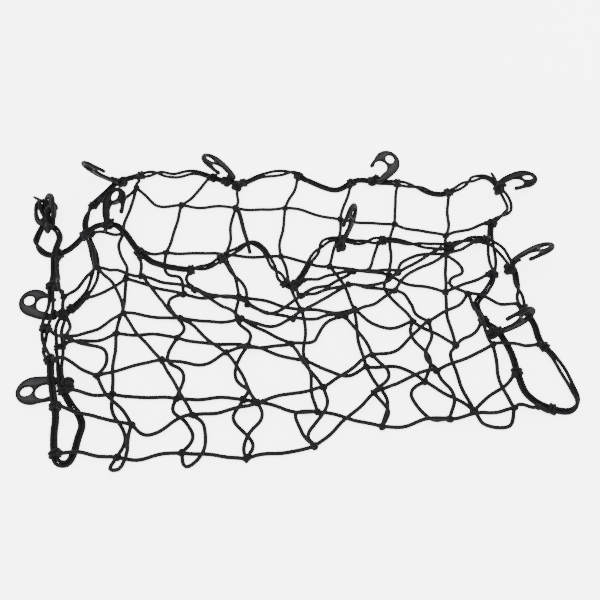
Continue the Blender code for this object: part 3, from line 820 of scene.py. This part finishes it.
def slack(line, number):
    """A slack cord's small curves sideways: sin(run / wave + its own start), none at its
    ends. It lies a little higher than its solid, because it is thicker.
    """
    run = np.arange(len(line)) * STEP
    held = np.sin(math.pi * run / run[-1])
    wave = np.sin(run / SLACK_WAVE + SLACK_TURN * number)
    return line + np.column_stack([leftwards(line[:, :2]) * (SLACK * held * wave)[:, None],
                                   np.full(len(line), SWELL)])


cords = [carried(slack(line, number), CORD_FULL / 2, ROUND)
         for number, line in enumerate(net.strands)]
piece("mesh_cords", cords, [mesh_sheath], ["net_mesh"])

# -------- mesh knots
# Where a cross cord meets a lengthwise cord the two are pulled into a tight knot, a lump
# of three bights. No two are drawn up quite alike.

KNOT_REACH = 1.16     # mm to each unit of the knot's path
KNOT_STEPS = 54
KNOT_ROUND = 8        # sides of the cord's section in a knot
KNOT_TIGHT = 2.2      # radius of the cord in a knot, drawn thin
KNOT_SQUEEZE = 0.82   # a knot's width to its length
KNOT_TIP = 0.35       # radians by which knots are tipped, more or less
KNOT_SIZES = (0.94, 1.06)


def knot_path(count):
    """A three-bight knot: ((2 + cos 3t) cos 2t, (2 + cos 3t) sin 2t, 1.6 sin 3t)."""
    t = np.linspace(0, 2 * math.pi, count, endpoint=False)
    return np.column_stack([(2 + np.cos(3 * t)) * np.cos(2 * t),
                            (2 + np.cos(3 * t)) * np.sin(2 * t), 1.6 * np.sin(3 * t)])


chance = np.random.default_rng(7)


def tied_knot(place, reach, radius, squeeze=KNOT_SQUEEZE):
    """The knot's path drawn up at a place, turned and tipped by chance, with its cord
    carried along it and kept above the surface. The lean of the section is the path's bend.
    """
    spin, tip = chance.uniform(0, 2 * math.pi), chance.normal(0, KNOT_TIP)
    path = knot_path(KNOT_STEPS) * (1, squeeze, 1) * reach * chance.uniform(*KNOT_SIZES)
    path = path @ (turned(2, spin) @ turned(0, tip)).T
    bend = np.roll(path, -1, axis=0) + np.roll(path, 1, axis=0) - 2 * path
    path = path + place
    path[:, 2] += max(0, radius - path[:, 2].min())
    return carried(path, radius, KNOT_ROUND, closed=True, lean=bend)


lumps = [tied_knot(knot[:3], KNOT_REACH, KNOT_TIGHT)
         for knot in net.knots if knot[3] == KNOT]
piece("mesh_knots", lumps, [mesh_sheath], ["net_mesh"])

# -------- hitches on the border
# Each mesh cord ends in a hitch: two turns round both cords of the border, drawn tight
# against a small knot just inside it.

HITCH_TURNS = 2
HITCH_STEPS = 24      # points to each turn
HITCH_PITCH = 4.2     # from one turn to the next along the border
HITCH_ACROSS = 5.6    # from the border's middle to the middle of the turn beside it,
HITCH_OVER = 3.9      # and above it
HITCH_DOWN = 0.2      # the turns sit this much lower than the border
HITCH_LOW = 2.2       # a turn never goes lower than this above the surface
HITCH_KNOT = 0.72     # size of the small knot to one in the mesh,
HITCH_TIGHT = 0.95    # and of its cord


def hitch_turns(place, inside):
    """Turns round the border: middle + along * pitch * turns + across * a cos + up * b sin."""
    nearest = distances(border_line, place).argmin()
    ahead, behind = border_line[(nearest + 1) % len(border_line)], border_line[nearest - 1]
    along = (ahead - behind) * (1, 1, 0)
    along /= np.linalg.norm(along)
    across = np.cross(along, (0, 0, 1))
    across *= np.sign(across[:2] @ (inside[:2] - border_line[nearest, :2]))
    turn = np.linspace(0, 2 * math.pi * HITCH_TURNS, HITCH_STEPS * HITCH_TURNS + 1)[:, None]
    path = (border_line[nearest] + along * HITCH_PITCH * (turn / (2 * math.pi) - HITCH_TURNS / 2)
            + across * HITCH_ACROSS * np.cos(turn) + np.array([0, 0, HITCH_OVER]) * np.sin(turn))
    path[:, 2] = np.maximum(path[:, 2] - HITCH_DOWN, HITCH_LOW)
    path = np.vstack([inside, path, inside])
    return carried(path, KNOT_TIGHT, KNOT_ROUND, lean=along)


ends = [np.array(knot[:3]) for knot in net.knots if knot[3] == HITCH]
tied = [hitch_turns(place, inside) for place, inside in zip(net.hitches, ends)]
tied += [tied_knot(inside, KNOT_REACH * HITCH_KNOT, KNOT_TIGHT * HITCH_TIGHT)
         for inside in ends]
piece("border_hitches", tied, [mesh_sheath], ["net_mesh"])

# -------- hooks
# Flat hooks moulded in tough black plastic: a thin web with a raised rim round its edge
# and round the eye, a tapered tip, and a curled foot that is tied to the border.

WEB = 2.7             # thickness of the web
RIM_IN = 1.05         # from the hook's edge to the middle of its rim
RIM_WIDTH = 2.3
EYE_RIM = 0.9         # from the eye's edge to the middle of its rim
EDGE_STEP = 1.0       # spacing of the points along a hook's edge
WEB_SHADES = (0.006, 0.006, 0.0063), (0.014, 0.014, 0.0147)
# Painted light: a lighter web for the hooks that lie nearly flat and face up.
PAINTED_LIGHT_SHADES = (0.021, 0.021, 0.022), (0.035, 0.035, 0.0367)
RIM_SHADES = (0.0035, 0.0035, 0.0038), (0.010, 0.010, 0.0106)
DULLER = {**DULL, "Specular_IOR_Level": 0.02}
HOOKS_PAINTED_LIGHTER = ("hook_03", "hook_07", "hook_08")  # painted light: these lie nearly flat and face up, so their web is painted lighter
GRAINS = 1400.0       # grains of the mould to a metre,
GRAIN_HEIGHT = 0.0002  # and their height in metres
SCUFFS = 90.0         # scuffs to a metre


def inset(ring, depth):
    """A closed ring moved sideways by depth, to the left of its way where that is more."""
    along = unit(round_about(ring))
    return ring + depth * np.column_stack([-along[:, 1], along[:, 0]])


def web_plate(outline, eye, half):
    """The flat web: the space between two rings filled above and below, and walled."""
    rings = np.vstack([outline, eye])
    fill = tessellate_polygon([[(x, y, 0) for x, y in ring] for ring in (outline, eye)])
    count = len(rings)
    low = np.column_stack([rings, np.full(count, -half)])
    faces = [list(face) for face in fill] + [[i + count for i in reversed(face)] for face in fill]
    for start, size in ((0, len(outline)), (len(outline), len(eye))):
        faces += [[start + i, start + j, start + j + count, start + i + count]
                  for i, j in zip(range(size), [*range(1, size), 0])]
    return np.vstack([low, low * (1, 1, -1)]), faces, np.zeros((sum(map(len, faces)), 2))


def moulded(start, shades):
    """Fine grain of the mould as relief, with faint scuffs that lighten the surface."""
    place = start.node("ShaderNodeTexCoord", output=3)
    grain = start.node("ShaderNodeTexNoise",
                       sockets={"Vector": place, "Scale": GRAINS, "Detail": 2.0})
    scuffs = start.node("ShaderNodeTexNoise", sockets={
        "Vector": place, "Scale": SCUFFS, "Detail": 6.0, "Roughness": 0.7})
    bump = start.node("ShaderNodeBump",
                      sockets={"Height": grain, "Strength": 0.35, "Distance": GRAIN_HEIGHT})
    return {"Base Color": (scuffs * 1.5 - 0.5).maths("MAXIMUM", 0.0).mixed(*shades),
            "Roughness": 0.62 - scuffs * 0.3, "Normal": bump}


hook_web = finish("hook_web", lambda start: moulded(start, WEB_SHADES), **DULLER)
worn_web = finish("worn_web", lambda start: moulded(start, PAINTED_LIGHT_SHADES), **DULL)
hook_rim = finish("hook_rim", lambda start: moulded(start, RIM_SHADES), **DULL)

for hook in HOOKS:
    turn, move = hook_matrix(hook)
    move = move + (0, 0, lifts[hook[0]])
    outline, eye = (smooth_path(edge, closed=True, step=EDGE_STEP)[:-1]
                    for edge in hook_outline())
    edges = inset(outline, -RIM_IN), inset(eye, -EYE_RIM)
    points, faces, sheath = web_plate(*edges, WEB / 2)
    shapes = [(points @ turn.T + move, faces, sheath)]
    for edge in edges:
        rim = np.column_stack([edge, np.zeros(len(edge))]) @ turn.T + move
        shapes.append(carried(rim, RIM_WIDTH / 2, ROUND, closed=True,
                              lean=turn @ (0, 0, hook[4]), up_radius=HOOK_THICKNESS / 2))
    # Hooks that lie nearly flat and face up get the lighter web, which is painted light.
    web = worn_web if hook[0] in HOOKS_PAINTED_LIGHTER else hook_web
    made = piece(hook[0] + "_moulding", shapes, [web, hook_rim], [hook[0]], (0, 1, 1))
    shell = bmesh.new()
    shell.from_mesh(made.data)
    bmesh.ops.recalc_face_normals(shell, faces=shell.faces)
    shell.to_mesh(made.data)
    shell.free()

# -------- hook ties
# The border is knotted round each hook's foot: a loop through the foot's slot, and a big
# round knot of the border cord against it.

TIE_KNOTS = (
    # where each hook's round knot lies, in the order of the hooks
    (-254, 187), (-106, 188), (103, 188), (281, 173), (-263, 108), (-349, 119),
    (-303, -24), (-277, -120), (54, 75), (276, 42), (240, -51),
)
MORE_KNOTS = ((-90, 179), (-346, 143))
BUNCH = (
    # spare cord bunched round the hook at the net's far left corner, in oval loops:
    # middle and height, half its length and width, and which way it points
    (-351, 131, 10, 19, 12.5, 108), (-355, 132, 12.5, 16, 9, 102), (-357, 130, 7, 14, 9, 96),
    (-349, 134, 14, 15, 8, 118), (-344, 122, 9, 15, 5, 104),
)
TIE_REACH = 2.0       # mm to each unit of the knot's path
TIE_ROUND = 3.2       # radius of the doubled cord in the knot
TIE_SQUEEZE = 0.9     # the knot's width to its length
TIE_ABOVE = 2.6       # from the border's middle up to the knot's
NEAR_BORDER = 6.0     # how far round a place the border is looked for
LOOP_ROUND = 2.0      # the loop through the slot is pulled thin,
LOOP_LONGER = 1.6     # goes this far past the knot and the slot,
LOOP_RISE = 2.9       # and stands this far to each side of the way between them
LOOP_STEPS = 28
BUNCH_STEPS = 40
BUNCH_TIP, BUNCH_WAVE = 2.5, 1.5  # how a spare loop is tipped and waves up and down


def over_border(place):
    """The height of the border's middle at or near a place, the higher where two cross."""
    away = distances(border_line[:, :2], place)
    return border_line[away < max(NEAR_BORDER, away.min() + 0.5), 2].max()


def ball_knot(x, y):
    """The big round knot on the border at a place, and the place of its middle."""
    middle = np.array([x, y, over_border((x, y)) + TIE_ABOVE])
    return tied_knot(middle, TIE_REACH, TIE_ROUND, TIE_SQUEEZE), middle


def tie_loop(one, other):
    """A closed oval loop of cord from one place round the other: middle + half the way
    between them * cos + a small rise * sin, a little longer than the way itself.
    """
    angle = np.linspace(0, 2 * math.pi, LOOP_STEPS, endpoint=False)[:, None]
    way = (other - one) / 2
    long = way * (1 + LOOP_LONGER / np.linalg.norm(way))
    rise = np.cross(long, np.cross((0, 0, 1), long))
    rise *= LOOP_RISE / np.linalg.norm(rise)
    path = (one + other) / 2 + long * np.cos(angle) + rise * np.sin(angle)
    path[:, 2] = np.maximum(path[:, 2], LOOP_ROUND)
    return carried(path, LOOP_ROUND, KNOT_ROUND, closed=True, lean=np.cross(long, rise))


ties = []
for hook, place in zip(HOOKS, TIE_KNOTS):
    knot, middle = ball_knot(*place)
    turn, move = hook_matrix(hook)
    slot = turn @ (*FOOT_SLOT, 0) + move + (0, 0, lifts[hook[0]])
    ties += [knot, tie_loop(middle, slot)]
ties += [ball_knot(*place)[0] for place in MORE_KNOTS]
for x, y, z, long, wide, heading in BUNCH:
    angle = np.linspace(0, 2 * math.pi, BUNCH_STEPS, endpoint=False)
    heading = math.radians(heading)
    ahead, aside = long * np.cos(angle), wide * np.sin(angle)
    oval = np.column_stack([x + ahead * math.cos(heading) - aside * math.sin(heading),
                            y + ahead * math.sin(heading) + aside * math.cos(heading),
                            z + BUNCH_TIP * np.cos(angle) + BUNCH_WAVE * np.sin(2 * angle)])
    ties.append(carried(oval, CORD_FULL / 2, ROUND, closed=True))
piece("hook_ties", ties, [border_sheath], ["border_cord"])

# -------- cord ends
# Where the border was joined its two ends stick out of their knots. One has come unravelled
# into its rubber strands.

CORD_ENDS = (
    # how thick each end is to a plain cord, and its places with their heights; the third
    # is a doubled end, drawn tight across the mesh
    (1.0, ((-352, 146, 13), (-358, 149, 12), (-365, 153, 11), (-372, 158, 9.5))),
    (1.0, ((283, 174, 8), (280, 196, 4), (277, 207, 2.2))),
    (1.35, ((-90, 143, 7), (-84, 132, 5.5), (-77, 105, 6), (-71, 84, 10.5), (-67, 68, 5))),
)
END_TAPER = 0.2       # how much thinner an end is at its tip
FRAYED = 0            # which of them is frayed
FIBRES = 12
FIBRE = 0.5           # radius of a rubber strand,
FIBRE_LENGTH = 3.5    # and its length past the sheath, before it spreads
FIBRE_SPREAD, FIBRE_CURL = 0.2, 0.6
FIBRE_ROOT = 0.15     # the part of the last stretch that it starts back
FIBRE_SIDES = 5
FIBRE_STEPS = 8

tails = []
for thickness, places in CORD_ENDS:
    flat = smooth_path(np.array(places)[:, :2])
    run = np.linspace(0, 1, len(flat))
    height = np.interp(run, np.linspace(0, 1, len(places)), [place[2] for place in places])
    thick = thickness * CORD_FULL / 2 * (1 - END_TAPER * run ** 3)
    tails.append(carried(np.column_stack([flat, height]), thick, ROUND))
back, tip = np.array(CORD_ENDS[FRAYED][1][-2:], dtype=float)
t = np.linspace(0, 1, FIBRE_STEPS)[:, None]
for _ in range(FIBRES):
    spread = (tip - back) / np.linalg.norm(tip - back)
    spread = spread + chance.normal(0, FIBRE_SPREAD, 3) * (1, 1, 0.5)
    path = (tip - (tip - back) * FIBRE_ROOT + spread * FIBRE_LENGTH * t
            + chance.normal(0, FIBRE_CURL, 3) * t ** 2)
    path[:, 2] = np.maximum(path[:, 2], FIBRE)
    tails.append(carried(path, FIBRE, FIBRE_SIDES))
piece("cord_ends", tails, [border_sheath], ["border_cord"])
